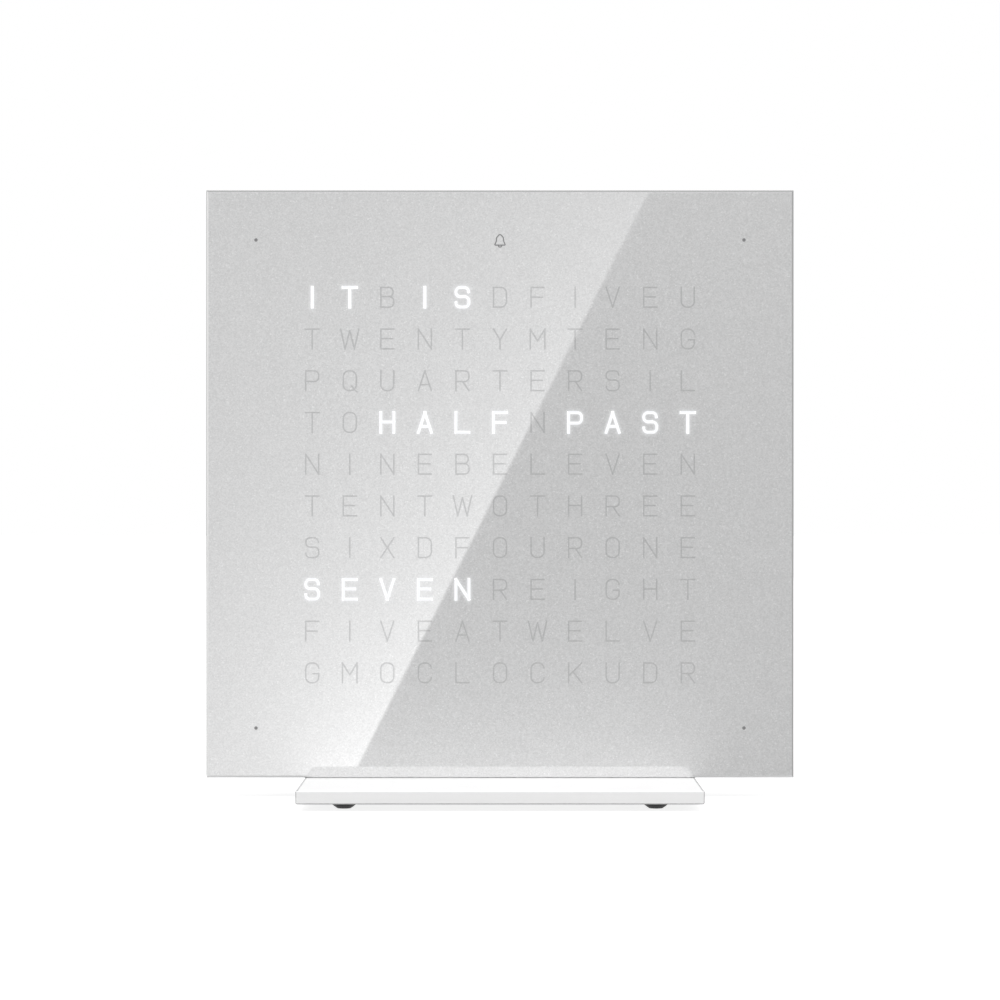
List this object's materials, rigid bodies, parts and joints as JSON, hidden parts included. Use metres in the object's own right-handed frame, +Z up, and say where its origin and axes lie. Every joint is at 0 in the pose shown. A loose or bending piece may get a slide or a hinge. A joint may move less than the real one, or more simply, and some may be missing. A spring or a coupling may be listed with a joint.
{
  "type": "word clock",
  "caption": "Square desk clock that tells the time in lit words on a glossy silver face, upright on a thin square base plate.",
  "frame": {"origin": "on the floor under the middle of the base plate", "axes": "+X to the right of someone facing the clock, -Y out of the face, +Z up"},
  "size_m": [0.135, 0.09, 0.1398],
  "materials": {
    "white_steel": "fine matt powder coat",
    "dark_rubber": "matt",
    "black_steel": "black oxide",
    "zinc_steel": "plated",
    "gloss_face": "high gloss acrylic over silver flake",
    "silver_film": "fine silver flake",
    "housing_plastic": "fine satin texture",
    "rear_plastic": "fine satin texture",
    "magnet_nickel": "nickel plated",
    "opal_sheet": "opal",
    "grid_plastic": "matt white",
    "board_laminate": "solder mask",
    "led_white": "clear dome over white",
    "copper": "bright",
    "chip_black": "moulded epoxy",
    "can_metal": "bright",
    "steel_clip": "spring steel",
    "cell_steel": "bright",
    "black_plastic": "moulded",
    "button_plastic": "satin"
  },
  "bodies": {
    "clock_body": {"base_plate": "white_steel", "rubber_feet": "dark_rubber", "base_screws": "black_steel", "housing": "housing_plastic", "housing_magnets": "magnet_nickel", "rear_cover": "rear_plastic", "rear_cover_screws": "black_steel", "diffuser_sheet": "opal_sheet", "light_shaft_grid": "grid_plastic", "led_board": "board_laminate", "board_screws": "zinc_steel", "letter_leds": "led_white", "minute_leds": "led_white", "alarm_led": "led_white", "light_sensor": "chip_black", "touch_electrode": "copper", "touch_contact": "copper", "microcontroller": "chip_black", "led_drivers": "chip_black", "clock_chip": "chip_black", "crystal": "can_metal", "voltage_regulator": "chip_black", "capacitors": "can_metal", "small_resistors": "chip_black", "coin_cell_holder": "black_plastic", "coin_cell": "cell_steel", "coin_cell_clip": "steel_clip", "buzzer": "black_plastic", "tact_switches": "black_plastic", "power_socket": "steel_clip", "socket_tongue": "black_plastic"},
    "lift_off_cover": {"front_cover": "gloss_face", "face_film": "silver_film", "strike_discs": "zinc_steel", "locating_pins": "zinc_steel"},
    "hour_key": {"hour_button": "button_plastic", "hour_plunger": "black_plastic"},
    "minute_key": {"minute_button": "button_plastic", "minute_plunger": "black_plastic"},
    "alarm_key": {"alarm_button": "button_plastic", "alarm_plunger": "black_plastic"}
  },
  "joints": [
    {"name": "cover_lift_off", "type": "slide", "parent": "clock_body", "child": "lift_off_cover", "axis": [0, -1, 0], "range_m": [0, 0.045]},
    {"name": "hour_press", "type": "slide", "parent": "clock_body", "child": "hour_key", "axis": [0, -1, 0], "range_m": [0, 0.0005], "stiffness_N_per_m": 600},
    {"name": "minute_press", "type": "slide", "parent": "clock_body", "child": "minute_key", "axis": [0, -1, 0], "range_m": [0, 0.0005], "stiffness_N_per_m": 600},
    {"name": "alarm_press", "type": "slide", "parent": "clock_body", "child": "alarm_key", "axis": [0, -1, 0], "range_m": [0, 0.0005], "stiffness_N_per_m": 600}
  ]
}
